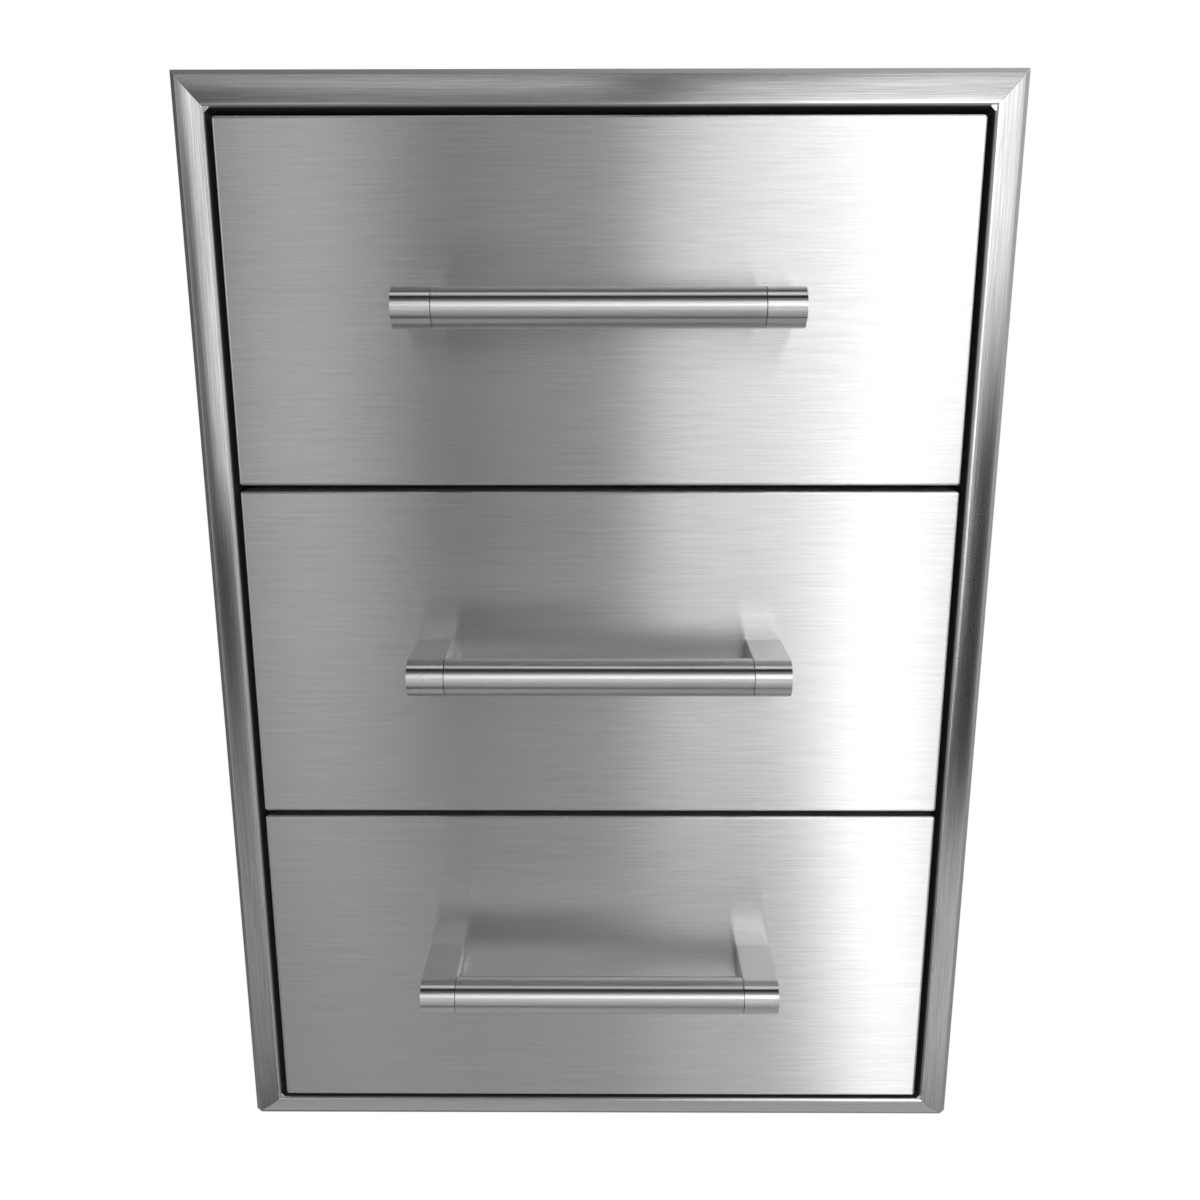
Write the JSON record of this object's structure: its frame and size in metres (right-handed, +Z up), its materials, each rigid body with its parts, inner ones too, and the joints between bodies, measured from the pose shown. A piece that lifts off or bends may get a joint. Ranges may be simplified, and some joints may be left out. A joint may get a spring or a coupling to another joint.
{
  "type": "outdoor kitchen drawer unit",
  "caption": "Built-in drawer unit for an outdoor kitchen island: stainless trim frame and case with bar-handled drawers on full-extension ball-bearing slides.",
  "frame": {"origin": "bottom centre of the case on the plane of the island's wall", "axes": "+X to the right seen from the front, +Y into the island, +Z up"},
  "size_m": [0.432, 0.5512, 0.608],
  "materials": {
    "front_steel": "fine brushed stainless steel, horizontal grain",
    "frame_steel": "fine brushed stainless steel, grain along each rail",
    "handle_steel": "satin stainless steel",
    "case_steel": "dull mill-finished stainless sheet",
    "slide_steel": "bright zinc-plated steel",
    "cage_steel": "zinc-plated cages with polished steel balls",
    "bolt_steel": "plain stainless steel",
    "stop_rubber": "black rubber"
  },
  "bodies": {
    "cabinet": {"frame_bottom_rail": "frame_steel", "frame_top_rail": "frame_steel", "frame_left_stile": "frame_steel", "frame_right_stile": "frame_steel", "case_left_side": "case_steel", "case_right_side": "case_steel", "case_bottom": "case_steel", "case_top": "case_steel", "case_back": "case_steel", "lower_left_cabinet_rail": "slide_steel", "lower_right_cabinet_rail": "slide_steel", "middle_left_cabinet_rail": "slide_steel", "middle_right_cabinet_rail": "slide_steel", "upper_left_cabinet_rail": "slide_steel", "upper_right_cabinet_rail": "slide_steel", "slide_stops": "stop_rubber"},
    "lower_drawer": {"lower_front_skin": "front_steel", "lower_front_liner": "case_steel", "lower_tray_floor": "case_steel", "lower_tray_sides": "case_steel", "lower_tray_end_walls": "case_steel", "lower_handle_bar": "handle_steel", "lower_handle_posts": "handle_steel", "lower_handle_bolts": "bolt_steel", "lower_left_drawer_rail": "slide_steel", "lower_right_drawer_rail": "slide_steel"},
    "lower_centre_rails": {"lower_left_centre_rail": "slide_steel", "lower_right_centre_rail": "slide_steel"},
    "lower_outer_cages": {"lower_outer_ball_cages": "cage_steel"},
    "lower_inner_cages": {"lower_inner_ball_cages": "cage_steel"},
    "middle_drawer": {"middle_front_skin": "front_steel", "middle_front_liner": "case_steel", "middle_tray_floor": "case_steel", "middle_tray_sides": "case_steel", "middle_tray_end_walls": "case_steel", "middle_handle_bar": "handle_steel", "middle_handle_posts": "handle_steel", "middle_handle_bolts": "bolt_steel", "middle_left_drawer_rail": "slide_steel", "middle_right_drawer_rail": "slide_steel"},
    "middle_centre_rails": {"middle_left_centre_rail": "slide_steel", "middle_right_centre_rail": "slide_steel"},
    "middle_outer_cages": {"middle_outer_ball_cages": "cage_steel"},
    "middle_inner_cages": {"middle_inner_ball_cages": "cage_steel"},
    "upper_drawer": {"upper_front_skin": "front_steel", "upper_front_liner": "case_steel", "upper_tray_floor": "case_steel", "upper_tray_sides": "case_steel", "upper_tray_end_walls": "case_steel", "upper_handle_bar": "handle_steel", "upper_handle_posts": "handle_steel", "upper_handle_bolts": "bolt_steel", "upper_left_drawer_rail": "slide_steel", "upper_right_drawer_rail": "slide_steel"},
    "upper_centre_rails": {"upper_left_centre_rail": "slide_steel", "upper_right_centre_rail": "slide_steel"},
    "upper_outer_cages": {"upper_outer_ball_cages": "cage_steel"},
    "upper_inner_cages": {"upper_inner_ball_cages": "cage_steel"}
  },
  "joints": [
    {"name": "lower_drawer_slide", "type": "slide", "parent": "cabinet", "child": "lower_drawer", "axis": [0, -1, 0], "range_m": [0, 0.45]},
    {"name": "lower_centre_rail_slide", "type": "slide", "parent": "cabinet", "child": "lower_centre_rails", "axis": [0, -1, 0], "range_m": [0, 0.225]},
    {"name": "lower_outer_cage_slide", "type": "slide", "parent": "cabinet", "child": "lower_outer_cages", "axis": [0, -1, 0], "range_m": [0, 0.1125]},
    {"name": "lower_inner_cage_slide", "type": "slide", "parent": "cabinet", "child": "lower_inner_cages", "axis": [0, -1, 0], "range_m": [0, 0.3375]},
    {"name": "middle_drawer_slide", "type": "slide", "parent": "cabinet", "child": "middle_drawer", "axis": [0, -1, 0], "range_m": [0, 0.45]},
    {"name": "middle_centre_rail_slide", "type": "slide", "parent": "cabinet", "child": "middle_centre_rails", "axis": [0, -1, 0], "range_m": [0, 0.225]},
    {"name": "middle_outer_cage_slide", "type": "slide", "parent": "cabinet", "child": "middle_outer_cages", "axis": [0, -1, 0], "range_m": [0, 0.1125]},
    {"name": "middle_inner_cage_slide", "type": "slide", "parent": "cabinet", "child": "middle_inner_cages", "axis": [0, -1, 0], "range_m": [0, 0.3375]},
    {"name": "upper_drawer_slide", "type": "slide", "parent": "cabinet", "child": "upper_drawer", "axis": [0, -1, 0], "range_m": [0, 0.45]},
    {"name": "upper_centre_rail_slide", "type": "slide", "parent": "cabinet", "child": "upper_centre_rails", "axis": [0, -1, 0], "range_m": [0, 0.225]},
    {"name": "upper_outer_cage_slide", "type": "slide", "parent": "cabinet", "child": "upper_outer_cages", "axis": [0, -1, 0], "range_m": [0, 0.1125]},
    {"name": "upper_inner_cage_slide", "type": "slide", "parent": "cabinet", "child": "upper_inner_cages", "axis": [0, -1, 0], "range_m": [0, 0.3375]}
  ],
  "couplings": [
    {"joint": "lower_centre_rail_slide", "follows": "lower_drawer_slide", "ratio": 0.5},
    {"joint": "lower_outer_cage_slide", "follows": "lower_drawer_slide", "ratio": 0.25},
    {"joint": "lower_inner_cage_slide", "follows": "lower_drawer_slide", "ratio": 0.75},
    {"joint": "middle_centre_rail_slide", "follows": "middle_drawer_slide", "ratio": 0.5},
    {"joint": "middle_outer_cage_slide", "follows": "middle_drawer_slide", "ratio": 0.25},
    {"joint": "middle_inner_cage_slide", "follows": "middle_drawer_slide", "ratio": 0.75},
    {"joint": "upper_centre_rail_slide", "follows": "upper_drawer_slide", "ratio": 0.5},
    {"joint": "upper_outer_cage_slide", "follows": "upper_drawer_slide", "ratio": 0.25},
    {"joint": "upper_inner_cage_slide", "follows": "upper_drawer_slide", "ratio": 0.75}
  ]
}
